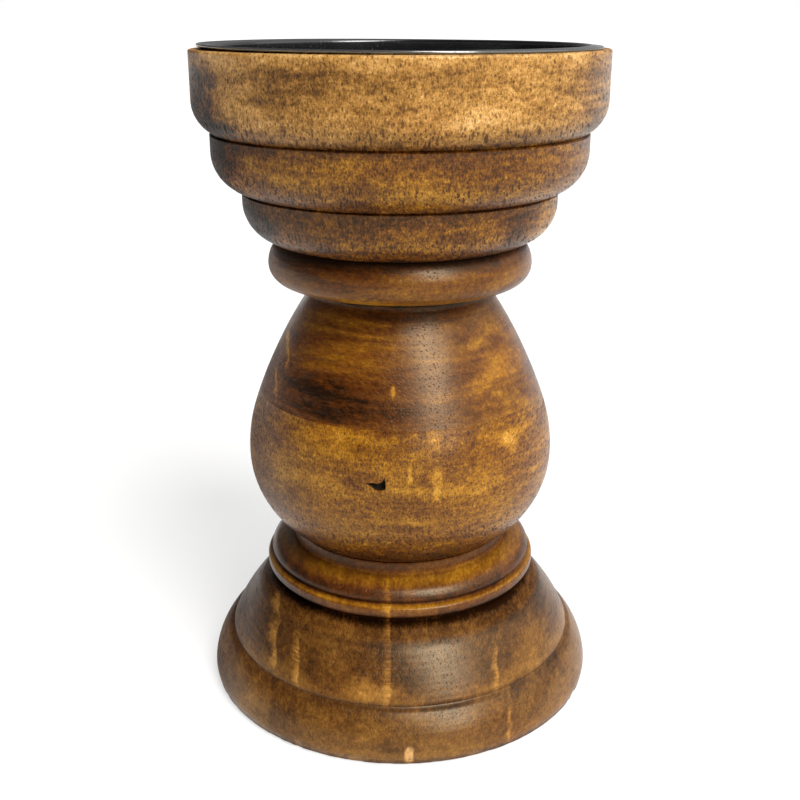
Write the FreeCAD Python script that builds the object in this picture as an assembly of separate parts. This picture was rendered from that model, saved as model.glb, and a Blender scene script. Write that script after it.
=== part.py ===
"""Turned wooden pillar-candle holder with a loose steel drip pan.

Four blocks of solid wood with level grain are doweled and glued one on top of another,
and turned together on a lathe. A pressed steel pan hangs by its lip in a recess in the
top block and lifts out. A felt disc is let into the underside.

Millimetres, +Z up. The origin is the centre of the face that the holder stands on.
"""
import FreeCAD, Part
import math
import os

# ---------------------------------------------------------------- driving sizes
# foot block, from the floor up: base ring, groove, bell, slope, crevice, flange, cuff, neck
base_ring_radius = 50.7        # widest point of the whole foot
base_ring_height = 12.4        # up to the groove
base_ring_width = 5.7          # from the widest point in to the groove
base_ring_curve = 17.0         # radius of the ring's swell, seen in profile
base_ring_belly = 2.5          # height of the widest point
base_edge_inset = 0.3          # how far the ring tucks in at the floor
groove_roll = 1.5              # width of the ring's rolled edge beside the groove
groove_drop = 0.6              # and how far that edge dips
groove_lip = 0.4               # how far the bell's foot stands clear of the groove
bell_height = 12.1             # from the groove up to the soft ridge of the shoulder
bell_width = 7.3
bell_curve = 46.0              # radius of the bell's swell, seen in profile
slope_height = 3.6             # from the shoulder up to the crevice
slope_width = 4.0
crevice_height = 2.1
crevice_depth = 1.3            # how far the crevice's wall lies inside the slope's top
flange_overhang = 1.65         # the flange is this much wider than the slope's top
flange_thickness = 3.0
flange_round = 0.9             # rounding under the flange
cuff_setback = 1.1             # the cuff is this much smaller than the flange
quirk_height = 0.3             # small groove between flange and cuff
quirk_depth = 1.1
cuff_underside = 1.0           # from the groove up to the cuff's widest point
cuff_height = 3.9              # from the widest point up to the neck
cuff_width = 6.1               # from the widest point in to the neck
foot_neck_height = 3.5

# bulb: the belly is in the lower block, the taper and the bead are in the upper block
belly_radius = 38.95
belly_height = 20.6            # above the lower block's underside
belly_curve = 39.5             # profile radius just above the belly
belly_curve_angle = 19.0       # degrees of that curve, before the taper takes over
lower_block_height = 37.1
upper_block_height = 37.5
neck_radius = 22.6             # top of the taper
neck_height = 2.5              # from the top of the taper up to the bead
bead_radius = 32.4
bead_drop = 5.7                # from the top of the block to the bead's widest point
bead_curve = 4.6               # profile radius of the bead's lower half

# cup: three rings, each a straight band with a curve under it
# radius: of the band; curve: its profile radius; tuck: how far the curve comes in
RING_TOP = {"radius": 48.6, "height": 18.6, "curve": 8.2, "tuck": 4.4}
RING_MIDDLE = {"radius": 44.8, "height": 13.6, "curve": 9.6, "tuck": 7.4}
RING_BOTTOM = {"radius": 38.0, "height": 11.9, "curve": 9.6, "tuck": 8.0}
crown_radius = 0.7             # rounding of the cup's top outer edge
cup_wall = 4.2                 # wood left round the pan's recess

# drip pan, pressed from sheet steel
steel = 0.7
pan_depth = 7.2                # from the top of the wood to the floor
pan_corner = 2.5               # inside radius between wall and floor
lip_margin = 2.0               # wood showing outside the lip
lip_seat = 0.8                 # flat ring under the lip that rests on the wood
lip_flare = 0.45               # how far the lip's outer edge turns up

# dowels and felt
dowel_radius = 6.0
dowel_length = 28.0
dowel_chamfer = 1.0
felt_margin = 6.4              # wood showing round the felt
felt_thickness = 1.5
felt_proud = 0.5               # how far the felt stands below the wood

# clearances
pan_gap = 0.4                  # round the pan's wall
pan_floor_gap = 0.6            # under the pan
glue_gap = 0.05                # round a dowel and round the felt
dowel_end_gap = 0.5            # beyond each end of a dowel
soft_edge = 0.3                # rounding of small wooden arrises

# ---------------------------------------------------------------- radii that follow
groove_radius = base_ring_radius - base_ring_width
shoulder_radius = groove_radius - bell_width
slope_top_radius = shoulder_radius - slope_width
flange_radius = slope_top_radius + flange_overhang
cuff_radius = flange_radius - cuff_setback
foot_neck_radius = cuff_radius - cuff_width
bead_top_radius = RING_BOTTOM["radius"] - RING_BOTTOM["tuck"]
pan_wall_radius = RING_TOP["radius"] - cup_wall - pan_gap
pan_bowl_radius = pan_wall_radius - steel
pan_lip_radius = RING_TOP["radius"] - lip_margin
felt_radius = base_ring_radius - base_edge_inset - felt_margin
hole_radius = dowel_radius + glue_gap
hole_depth = dowel_length / 2 + dowel_end_gap

# ---------------------------------------------------------------- heights from the floor
foot_bottom = felt_proud
groove_z = foot_bottom + base_ring_height
shoulder_z = groove_z + bell_height
slope_top_z = shoulder_z + slope_height
flange_z = slope_top_z + crevice_height
quirk_z = flange_z + flange_thickness + quirk_height
cuff_z = quirk_z + cuff_underside
cuff_top_z = cuff_z + cuff_height
foot_top = cuff_top_z + foot_neck_height
belly_z = foot_top + belly_height
lower_top = foot_top + lower_block_height
upper_top = lower_top + upper_block_height
bead_z = upper_top - bead_drop
bead_bottom = bead_z - bead_curve
neck_z = bead_bottom - neck_height
cup_top = upper_top + RING_BOTTOM["height"] + RING_MIDDLE["height"] + RING_TOP["height"]
pan_top = cup_top + lip_flare + steel
pan_floor = cup_top - pan_depth

os.makedirs("parts", exist_ok=True)


# ---------------------------------------------------------------- profile helpers
def point(radius, height):
    return FreeCAD.Vector(radius, 0, height)


class Outline:
    """A half-section in the XZ plane, drawn edge by edge and then turned about Z."""

    def __init__(self, radius, height):
        self.here = point(radius, height)
        self.edges = []

    def line(self, radius, height):
        there = point(radius, height)
        if there.distanceToPoint(self.here) > 1e-6:
            self.edges.append(Part.LineSegment(self.here, there).toShape())
            self.here = there
        return self

    def arc(self, middle, end):
        """A circular arc through the middle point to the end point, both (radius, height)."""
        there = point(*end)
        self.edges.append(Part.Arc(self.here, point(*middle), there).toShape())
        self.here = there
        return self

    def swell(self, radius, height, curve):
        """An arc of a given radius that bulges away from the axis."""
        there = point(radius, height)
        chord = there - self.here
        outward = FreeCAD.Vector(-chord.z, 0, chord.x).normalize()
        if outward.x < 0:
            outward = outward * -1
        rise = curve - math.sqrt(curve ** 2 - (chord.Length / 2) ** 2)
        middle = (self.here + there) * 0.5 + outward * rise
        return self.arc((middle.x, middle.z), (radius, height))

    def flowing(self, lean, radius, height):
        """An arc that sets off upward, leaning in by an angle, and ends at the given point."""
        chord = point(radius, height) - self.here
        turn = (math.atan2(-chord.x, chord.z) - lean) / 2
        reach = chord.Length / 2 / math.cos(turn)
        heading = lean + turn
        middle = (self.here.x - reach * math.sin(heading), self.here.z + reach * math.cos(heading))
        return self.arc(middle, (radius, height))

    def quarter(self, radius, height, upright_first):
        """A quarter ellipse: it leaves upright or level, and arrives the other way."""
        across = FreeCAD.Vector(abs(radius - self.here.x), 0, 0)
        up = FreeCAD.Vector(0, 0, abs(height - self.here.z))
        if upright_first:
            centre = point(radius, self.here.z)
        else:
            centre = point(self.here.x, height)
        major, minor = (across, up) if across.Length > up.Length else (up, across)
        ellipse = Part.Ellipse(centre + major, centre + minor, centre)
        there = point(radius, height)
        start = ellipse.parameter(self.here)
        stop = ellipse.parameter(there)
        turn = (stop - start) % (2 * math.pi)
        if turn < math.pi:
            edge = Part.ArcOfEllipse(ellipse, start, start + turn).toShape()
        else:
            edge = Part.ArcOfEllipse(ellipse, stop, stop + 2 * math.pi - turn).toShape()
        self.edges.append(edge)
        self.here = there
        return self

    def turned(self):
        """Close the outline back to its first point and revolve it into a solid."""
        first = self.edges[0].Vertexes
        start = first[0].Point
        self.line(start.x, start.z)
        wire = Part.Wire(Part.__sortEdges__(self.edges))
        face = Part.Face(wire)
        return face.revolve(FreeCAD.Vector(0, 0, 0), FreeCAD.Vector(0, 0, 1), 360)


def drum(radius, bottom, top):
    """A plain cylinder on the axis."""
    return Part.makeCylinder(radius, top - bottom, FreeCAD.Vector(0, 0, bottom))


def dowel_hole(joint_z):
    """Half of this hole is in each of the two blocks that meet at the joint."""
    return drum(hole_radius, joint_z - hole_depth, joint_z + hole_depth)


def save(shape, node):
    """Write one solid, turned outward, to its own file."""
    solid = shape.Solids[0] if shape.Solids else Part.Solid(shape)
    if solid.Volume < 0:
        solid.reverse()
    solid.exportStep("parts/" + node + ".step")
    print(f"{node:14s} {solid.Volume / 1000:8.2f} cm3  valid {solid.isValid()}")


# ---------------------------------------------------------------- wooden blocks
def make_foot():
    quirk_radius = cuff_radius - quirk_depth
    crevice_radius = slope_top_radius - crevice_depth
    flange_top = flange_z + flange_thickness
    outline = Outline(0, foot_bottom)
    outline.line(base_ring_radius - base_edge_inset - soft_edge, foot_bottom)
    outline.line(base_ring_radius - base_edge_inset, foot_bottom + soft_edge)
    outline.line(base_ring_radius, foot_bottom + base_ring_belly)
    outline.swell(groove_radius + groove_roll, groove_z - groove_drop, base_ring_curve)
    outline.line(groove_radius, groove_z)
    outline.line(groove_radius + groove_lip, groove_z + groove_lip)
    outline.swell(shoulder_radius, shoulder_z, bell_curve)
    outline.line(slope_top_radius, slope_top_z)
    outline.line(crevice_radius, slope_top_z)
    outline.line(crevice_radius, flange_z)
    outline.line(flange_radius - flange_round, flange_z)
    outline.quarter(flange_radius, flange_z + flange_round, upright_first=False)
    outline.line(flange_radius, flange_top - soft_edge)
    outline.line(flange_radius - soft_edge, flange_top)
    outline.line(quirk_radius, quirk_z)
    outline.line(cuff_radius, cuff_z)
    outline.quarter(foot_neck_radius, cuff_top_z, upright_first=True)
    outline.line(foot_neck_radius, foot_top)
    outline.line(0, foot_top)
    felt_recess = drum(felt_radius + glue_gap, 0, felt_thickness)
    return outline.turned().cut(felt_recess).cut(dowel_hole(foot_top))


def make_bulb():
    """The lower and the upper block, still in one piece."""
    inset = belly_radius - foot_neck_radius
    low_curve = (inset ** 2 + belly_height ** 2) / (2 * inset)
    lean = math.radians(belly_curve_angle)
    bead_inset = bead_radius - bead_top_radius
    bead_top_curve = (bead_inset ** 2 + bead_drop ** 2) / (2 * bead_inset)
    outline = Outline(0, foot_top)
    outline.line(foot_neck_radius, foot_top)
    outline.swell(belly_radius, belly_z, low_curve)
    outline.swell(belly_radius - belly_curve * (1 - math.cos(lean)),
                  belly_z + belly_curve * math.sin(lean), belly_curve)
    outline.flowing(lean, neck_radius, neck_z)
    outline.line(neck_radius, bead_bottom)
    outline.line(bead_radius - bead_curve, bead_bottom)
    outline.quarter(bead_radius, bead_z, upright_first=False)
    outline.swell(bead_top_radius, upper_top, bead_top_curve)
    outline.line(0, upper_top)
    holes = [dowel_hole(joint_z) for joint_z in (foot_top, lower_top, upper_top)]
    return outline.turned().cut(holes)


def make_cup():
    outline = Outline(0, upper_top)
    ring_z = upper_top
    for ring in (RING_BOTTOM, RING_MIDDLE, RING_TOP):
        curve = ring["curve"]
        rise = math.sqrt(curve ** 2 - (curve - ring["tuck"]) ** 2)
        outline.line(ring["radius"] - ring["tuck"], ring_z)
        outline.swell(ring["radius"], ring_z + rise, curve)
        ring_z += ring["height"]
        if ring is not RING_TOP:
            outline.line(ring["radius"], ring_z - soft_edge)
            outline.line(ring["radius"] - soft_edge, ring_z)
    outline.line(RING_TOP["radius"], cup_top - crown_radius)
    outline.quarter(RING_TOP["radius"] - crown_radius, cup_top, upright_first=True)
    outline.line(0, cup_top)
    recess = drum(pan_wall_radius + pan_gap, pan_floor - steel - pan_floor_gap, cup_top + 1)
    return outline.turned().cut(recess).cut(dowel_hole(upper_top))


# ---------------------------------------------------------------- pan, dowels and felt
def make_candle_pan():
    underside = pan_floor - steel
    lip_end = pan_lip_radius - steel / 2
    outline = Outline(0, underside)
    outline.line(pan_bowl_radius - pan_corner, underside)
    outline.quarter(pan_wall_radius, pan_floor + pan_corner, upright_first=False)
    outline.line(pan_wall_radius, cup_top)
    outline.line(pan_wall_radius + lip_seat, cup_top)
    outline.line(lip_end, cup_top + lip_flare)
    outline.arc((pan_lip_radius, pan_top - steel / 2), (lip_end, pan_top))
    outline.line(pan_wall_radius + lip_seat, cup_top + steel)
    outline.line(pan_wall_radius, cup_top + steel)
    outline.quarter(pan_bowl_radius, cup_top, upright_first=False)
    outline.line(pan_bowl_radius, pan_floor + pan_corner)
    outline.quarter(pan_bowl_radius - pan_corner, pan_floor, upright_first=True)
    outline.line(0, pan_floor)
    return outline.turned()


def make_dowel(joint_z):
    low = joint_z - dowel_length / 2
    high = joint_z + dowel_length / 2
    outline = Outline(0, low)
    outline.line(dowel_radius - dowel_chamfer, low)
    outline.line(dowel_radius, low + dowel_chamfer)
    outline.line(dowel_radius, high - dowel_chamfer)
    outline.line(dowel_radius - dowel_chamfer, high)
    outline.line(0, high)
    return outline.turned()


bulb = make_bulb()
lower_part = drum(2 * belly_radius, foot_top - 1, lower_top)
save(make_foot(), "foot")
save(bulb.common(lower_part), "lower_bulb")
save(bulb.cut(lower_part), "upper_bulb")
save(make_cup(), "cup")
save(make_candle_pan(), "candle_pan")
save(make_dowel(foot_top), "foot_dowel")
save(make_dowel(lower_top), "bulb_dowel")
save(make_dowel(upper_top), "cup_dowel")
save(drum(felt_radius, 0, felt_thickness), "base_felt")
print(f"wood {cup_top - foot_bottom:.1f} tall, {pan_top:.1f} overall, "
      f"{2 * base_ring_radius:.1f} across the base, {2 * RING_TOP['radius']:.1f} across the cup")
print(f"pan: {2 * pan_bowl_radius:.1f} across inside, floor at {pan_floor:.1f}, "
      f"upright wall from {pan_floor + pan_corner:.1f} to {cup_top:.1f}")
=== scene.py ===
# %% [markdown]
# # A turned wooden candlestick with a lift-out candle pan
# The real object is four blocks of an open-pored hardwood, turned on a lathe to one flowing outline,
# pinned and glued on hidden dowels, and stained brown, then rubbed back and waxed. A pan of
# enamelled sheet steel drops into the cup at the top and holds a pillar candle.
# The CAD model gives every piece its size and place. This script keeps that as a fixed frame and
# gives each visible piece a fine mesh and a finish of its own.

# %% Load the frame
import math
import random
from types import SimpleNamespace

import bmesh
import bpy
import numpy as np
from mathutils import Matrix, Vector


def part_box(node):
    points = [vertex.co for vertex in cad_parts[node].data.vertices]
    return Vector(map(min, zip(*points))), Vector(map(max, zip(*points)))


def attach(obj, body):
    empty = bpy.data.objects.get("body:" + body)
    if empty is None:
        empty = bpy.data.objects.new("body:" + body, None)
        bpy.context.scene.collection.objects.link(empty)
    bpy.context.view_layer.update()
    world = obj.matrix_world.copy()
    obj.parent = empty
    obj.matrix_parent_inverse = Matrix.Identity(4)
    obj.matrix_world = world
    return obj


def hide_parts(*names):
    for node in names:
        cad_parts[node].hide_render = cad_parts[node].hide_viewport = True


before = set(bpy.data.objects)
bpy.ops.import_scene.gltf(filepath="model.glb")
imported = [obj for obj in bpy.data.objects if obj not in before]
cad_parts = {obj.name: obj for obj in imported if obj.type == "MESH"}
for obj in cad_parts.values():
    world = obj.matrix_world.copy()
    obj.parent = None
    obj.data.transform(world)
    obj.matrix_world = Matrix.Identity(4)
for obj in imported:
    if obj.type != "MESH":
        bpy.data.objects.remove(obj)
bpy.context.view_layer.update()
MM = 0.001
print("CAD pieces:", sorted(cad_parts))

# %% [markdown]
# ## The eye and the stage
# A close view with a normal lens looks down on the candlestick a little, so that the cup's rim is
# almost edge-on and the foot is seen from above. The camera stands where a person at a table would
# hold it, about a hand's length and a half away, and it is tilted down, with no shift. So close, the
# cup is nearer to the lens than the foot, and looks larger than it is.

# %% Camera
LOOK_DOWN = 19.64
EYE_DISTANCE = 265 * MM
EYE_HEIGHT = 169 * MM

eye = bpy.data.objects.new("eye", bpy.data.cameras.new("eye"))
bpy.context.scene.collection.objects.link(eye)
bpy.context.scene.camera = eye
eye.data.sensor_width = 36.0
eye.data.lens = 49.07
eye.data.clip_start = 0.01
eye.location = (0.0, -EYE_DISTANCE, EYE_HEIGHT)
eye.rotation_euler = (math.radians(90 - LOOK_DOWN), 0, 0)
print("eye is", round(EYE_HEIGHT / MM), "mm up and looks down by", LOOK_DOWN, "degrees")

# %% [markdown]
# ## Making a finish
# Every finish here is a small recipe of nodes that works in the round, in millimetres, so that
# grain runs through a block as it does in a real plank. Writing each node by hand would take pages,
# so a helper adds one node at a time and hands back the socket with its result. A plain number is
# typed straight into the node, and a socket is wired up.

# %% A helper that mixes finishes
class Finish:
    """One material being mixed. Each method adds a node and returns its output socket."""

    def __init__(self, name):
        self.material = bpy.data.materials.new(name)
        self.material.use_nodes = True
        self.tree = self.material.node_tree
        self.shader = self.tree.nodes["Principled BSDF"]
        self.count = 0
        here = self.node("ShaderNodeTexCoord")
        self.place = self.stretch(here.outputs["Object"], (1000, 1000, 1000))
        parts = self.node("ShaderNodeSeparateXYZ", Vector=self.place)
        self.x, self.y, self.z = (parts.outputs[axis] for axis in "XYZ")

    def node(self, kind, settings=None, **inputs):
        made = self.tree.nodes.new(kind)
        made.location = (220 * (self.count % 12) - 2800, -240 * (self.count // 12))
        self.count += 1
        for key, value in (settings or {}).items():
            setattr(made, key, value)
        for key, value in inputs.items():
            self.feed(made.inputs[key], value)
        return made

    def feed(self, socket, value):
        if isinstance(value, bpy.types.NodeSocket):
            self.tree.links.new(value, socket)
        else:
            socket.default_value = value

    def calc(self, how, *terms):
        made = self.node("ShaderNodeMath", {"operation": how})
        for socket, value in zip(made.inputs, terms):
            self.feed(socket, value)
        return made.outputs[0]

    def plus(self, *terms):
        total = terms[0]
        for term in terms[1:]:
            total = self.calc("ADD", total, term)
        return total

    def times(self, *terms):
        total = terms[0]
        for term in terms[1:]:
            total = self.calc("MULTIPLY", total, term)
        return total

    def stretch(self, vector, amounts, turn=None, shift=None):
        """Moves a place, turns it to the grain, then scales it: small amounts give long marks."""
        if shift is not None:
            moved = self.node("ShaderNodeVectorMath", {"operation": "ADD"})
            self.feed(moved.inputs[0], vector)
            moved.inputs[1].default_value = shift
            vector = moved.outputs[0]
        if turn is not None:
            turned = self.node("ShaderNodeVectorRotate", {"rotation_type": "EULER_XYZ"},
                               Vector=vector)
            turned.inputs["Rotation"].default_value = turn
            vector = turned.outputs[0]
        made = self.node("ShaderNodeVectorMath", {"operation": "MULTIPLY"})
        self.feed(made.inputs[0], vector)
        made.inputs[1].default_value = amounts
        return made.outputs[0]

    def cloud(self, vector, detail=2.0, rough=0.5, warp=0.0):
        made = self.node("ShaderNodeTexNoise", Vector=vector, Scale=1.0, Detail=detail,
                         Roughness=rough, Distortion=warp)
        return made.outputs["Fac"]

    def fade(self, value, low, high, to_low=0.0, to_high=1.0):
        """A soft step from to_low to to_high as value goes from low to high."""
        made = self.node("ShaderNodeMapRange", {"interpolation_type": "SMOOTHSTEP"})
        for key, number in (("Value", value), ("From Min", low), ("From Max", high),
                            ("To Min", to_low), ("To Max", to_high)):
            self.feed(made.inputs[key], number)
        return made.outputs["Result"]

    def note(self, name):
        """A number that the mesh carries at each of its points."""
        return self.node("ShaderNodeAttribute", {"attribute_name": name}).outputs["Fac"]

    def ramp(self, value, stops):
        made = self.node("ShaderNodeValToRGB", Fac=value)
        ramp = made.color_ramp
        while len(ramp.elements) < len(stops):
            ramp.elements.new(0.5)
        for element, (position, colour) in zip(ramp.elements, stops):
            element.position = position
            element.color = (*colour, 1.0) if len(colour) == 3 else colour
        return made.outputs["Color"]

    def mix(self, share, first, second, how="MIX"):
        made = self.node("ShaderNodeMix", {"data_type": "RGBA", "blend_type": how})
        ins = [s for s in made.inputs if s.enabled]
        self.feed(ins[0], share)
        for socket, colour in zip(ins[1:], (first, second)):
            self.feed(socket, (*colour, 1.0) if isinstance(colour, tuple) else colour)
        return [s for s in made.outputs if s.enabled][0]

    def far_from(self, centre, size):
        """Distance from a place, in sizes of an egg shape round it: 0 in its middle, 1 at its skin."""
        off = self.stretch(self.place, tuple(1 / s for s in size), shift=tuple(-c for c in centre))
        return self.node("ShaderNodeVectorMath", {"operation": "LENGTH"}, Vector=off).outputs["Value"]

    def bump(self, height, depth):
        """Raises the surface by height times depth, in metres."""
        made = self.node("ShaderNodeBump", Height=height, Distance=depth, Strength=1.0)
        return made.outputs["Normal"]

    def done(self, **inputs):
        for key, value in inputs.items():
            self.feed(self.shader.inputs[key.replace("_", " ")], value)
        return self.material


def tint(red, green, blue):
    """A paint-chart colour, 0 to 255, as the linear light that Blender works in."""
    return tuple((c / 255 / 12.92) if c <= 10 else ((c / 255 + 0.055) / 1.055) ** 2.4
                 for c in (red, green, blue))


print("a golden tan is", [round(c, 3) for c in tint(190, 140, 80)], "in linear light")

# %% [markdown]
# ## Stage: a pale floor
# The floor is a wide, plain, pale sheet, lit from beneath like a light table, so that the object's
# shadow stays faint. It does two jobs: it gives the object something to stand on, and it throws soft
# light up under the rings of the cup, which is why their undersides glow. It lies a hair's breadth
# low, because two surfaces at exactly one height would show through each other in specks.

# %% Floor
FLOOR_HEIGHT = -0.02 * MM


def make_floor(reach, segments=96):
    mesh = bpy.data.meshes.new("floor")
    work = bmesh.new()
    bmesh.ops.create_circle(work, cap_ends=True, radius=reach, segments=segments)
    work.to_mesh(mesh)
    work.free()
    floor = bpy.data.objects.new("floor", mesh)
    floor.location.z = FLOOR_HEIGHT
    bpy.context.scene.collection.objects.link(floor)
    paper = Finish("pale_floor")
    tooth = paper.cloud(paper.stretch(paper.place, (0.8, 0.8, 0.8)), detail=3)
    shade = paper.ramp(tooth, [(0.3, (0.35, 0.35, 0.348)), (0.7, (0.37, 0.37, 0.368))])
    glow = paper.ramp(tooth, [(0.3, (0.97, 0.97, 0.965)), (0.7, (1.0, 1.0, 0.995))])
    paper.done(Base_Color=shade, Roughness=0.9, Specular_IOR_Level=0.2, Emission_Color=glow,
               Emission_Strength=0.66)
    mesh.materials.append(paper.material)
    return floor


make_floor(reach=60.0)
print("floor laid at", FLOOR_HEIGHT / MM, "mm")

# %% [markdown]
# ## Reading the outline off the CAD
# A turned piece is one outline spun round its axis. Drawing that outline a second time would risk a
# mismatch, so it is read off the CAD piece: weld the mesh, cut it down the middle, and follow the cut
# edge from the axis, round the outside, and back to the axis. The CAD mesh has a point every
# millimetre or two, so smooth runs are then redrawn as a curve through those points, while true
# corners stay sharp.

# %% Outline
WELD = 1e-6
FINE_RUN = 0.05 * MM


def half_section(node):
    """The cut edge of a turned CAD piece, as points (radius, height) in metres, from its low end."""
    work = bmesh.new()
    work.from_mesh(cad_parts[node].data)
    bmesh.ops.remove_doubles(work, verts=work.verts, dist=WELD)
    cut = bmesh.ops.bisect_plane(work, geom=work.verts[:] + work.edges[:] + work.faces[:],
                                 plane_co=(0, 0, 0), plane_no=(0, 1, 0), dist=WELD / 10)
    edges = [e for e in cut["geom_cut"] if isinstance(e, bmesh.types.BMEdge)
             and min(v.co.x for v in e.verts) > -WELD]
    meets = {}
    for edge in edges:
        a, b = edge.verts
        meets.setdefault(a, []).append(b)
        meets.setdefault(b, []).append(a)
    ends = sorted((v for v in meets if len(meets[v]) == 1), key=lambda v: v.co.z)
    chain, last = [ends[0]], None
    while True:
        onward = [v for v in meets[chain[-1]] if v is not last]
        if not onward:
            break
        last = chain[-1]
        chain.append(onward[0])
    points = np.array([(v.co.x, v.co.z) for v in chain])
    work.free()
    first, final = (0.0, points[0][1]), (0.0, points[-1][1])
    return np.vstack([first, points, final])


def without_needless(points, straight=0.4):
    """Drops points that lie on a straight run, so that only real bends and corners are left."""
    kept = [points[0]]
    for here, after in zip(points[1:-1], points[2:]):
        a, b = here - kept[-1], after - here
        if np.hypot(*a) < WELD:
            continue
        turn = math.degrees(math.atan2(a[0] * b[1] - a[1] * b[0], a @ b))
        if abs(turn) > straight:
            kept.append(here)
    kept.append(points[-1])
    return np.array(kept)


def smooth_run(run, step):
    """A smooth curve through the points of a run, with points about a step apart."""
    if len(run) == 2:
        count = max(1, math.ceil(np.hypot(*(run[1] - run[0])) / step(run.mean(0))))
        return [run[0] + (run[1] - run[0]) * k / count for k in range(count)]
    padded = np.vstack([2 * run[0] - run[1], run, 2 * run[-1] - run[-2]])
    made = []
    for p0, p1, p2, p3 in zip(padded, padded[1:], padded[2:], padded[3:]):
        d0, d1, d2 = (max(np.hypot(*(b - a)), 1e-9) for a, b in ((p0, p1), (p1, p2), (p2, p3)))
        m1 = (p2 - p1) + d1 * ((p1 - p0) / d0 - (p2 - p0) / (d0 + d1))
        m2 = (p2 - p1) + d1 * ((p3 - p2) / d2 - (p3 - p1) / (d1 + d2))
        count = max(1, math.ceil(d1 / step((p1 + p2) / 2)))
        for k in range(count):
            t = k / count
            made.append((2 * t**3 - 3 * t**2 + 1) * p1 + (t**3 - 2 * t**2 + t) * m1
                        + (3 * t**2 - 2 * t**3) * p2 + (t**3 - t**2) * m2)
    return made


def sanded(rows, amount, shown):
    """Rounds corners and grooves as sandpaper and wax do: each shown point moves to the average of
    its neighbours, weighted by how near they are along the outline."""
    run = np.concatenate([[0.0], np.cumsum(np.hypot(*np.diff(rows, axis=0).T))])
    even_run = np.arange(0, run[-1], FINE_RUN)
    even_rows = np.stack([np.interp(even_run, run, rows[:, k]) for k in (0, 1)], axis=1)
    half = int(3 * amount / FINE_RUN)
    weight = np.exp(-0.5 * (np.arange(-half, half + 1) * FINE_RUN / amount) ** 2)
    weight /= weight.sum()
    soft_rows = np.stack([np.convolve(np.pad(even_rows[:, k], half, mode="edge"), weight, mode="valid")
                          for k in (0, 1)], axis=1)
    made = np.stack([np.interp(run, even_run, soft_rows[:, k]) for k in (0, 1)], axis=1)
    keep = np.array([not shown(*(row / MM)) for row in rows])
    made[keep] = rows[keep]
    return made


def outline(node, step, corner=24, uneven=3):
    """The whole outline of a piece: curves redrawn smooth, while a turn of more than corner degrees,
    or a run beside one that is uneven times as long, keeps its sharp point."""
    points = without_needless(half_section(node))
    hard = [0]
    for k in range(1, len(points) - 1):
        a, b = points[k] - points[k - 1], points[k + 1] - points[k]
        turn = math.degrees(math.atan2(a[0] * b[1] - a[1] * b[0], a @ b))
        shorter, longer = sorted((np.hypot(*a), np.hypot(*b)))
        if abs(turn) > corner or shorter * uneven < longer:
            hard.append(k)
    hard.append(len(points) - 1)
    made = []
    for a, b in zip(hard, hard[1:]):
        made += smooth_run(points[a:b + 1], step)
    made.append(points[-1])
    return np.array(made)


WOODEN = ("foot", "lower_bulb", "upper_bulb", "cup")
for name in WOODEN:
    print(name, "outline has", len(without_needless(half_section(name))), "points")

# %% [markdown]
# ## Which places are hollow and which stand proud
# On the real object stain and dust stay in the creases, and handling rubs the crests bright. So each
# point of the mesh carries a note of how deep it lies. It is found from the whole stack's outline:
# the radius, smoothed over a few millimetres of height, less the true radius. That is positive in a
# crease and negative on a crest.

# %% Depth of every height
HEIGHT_STEP = 0.1
BLUR_OVER = 1.8
BLUR_ROWS = 80

heights = np.arange(0.0, 165.0, HEIGHT_STEP)
reach = np.zeros_like(heights)
for name in WOODEN:
    edge = half_section(name) / MM
    for (r0, z0), (r1, z1) in zip(edge, edge[1:]):
        low, high = min(z0, z1), max(z0, z1)
        inside = (heights >= low - 0.05) & (heights <= high + 0.05)
        if high - low > 0.01:
            radius = r0 + (r1 - r0) * np.clip((heights[inside] - z0) / (z1 - z0), 0, 1)
        else:
            radius = max(r0, r1)
        reach[inside] = np.maximum(reach[inside], radius)
blur = np.exp(-0.5 * (np.arange(-BLUR_ROWS, BLUR_ROWS + 1) / (BLUR_OVER / HEIGHT_STEP)) ** 2)
blur /= blur.sum()
smoothed = np.convolve(np.pad(reach, BLUR_ROWS, mode="edge"), blur, mode="valid")


def hollow(radius_mm, height_mm):
    """How far a point lies inside the smoothed outline, in millimetres."""
    return np.interp(height_mm, heights, smoothed) - radius_mm


print("deepest crease is", round(float((smoothed - reach).max()), 1), "mm inside the smoothed outline")

# %% [markdown]
# ## Spinning an outline
# Blender's Screw modifier would spin the outline evenly. Here the spin is done in code, because a
# few places need more: the meridians stand closer together round a small knot hole, and every point
# can be moved a little, for sanding dips, dents and chips. Where the outline meets the axis the mesh
# closes with a fan of triangles.

# %% Spin
SHARP_ABOVE = 38


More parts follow.
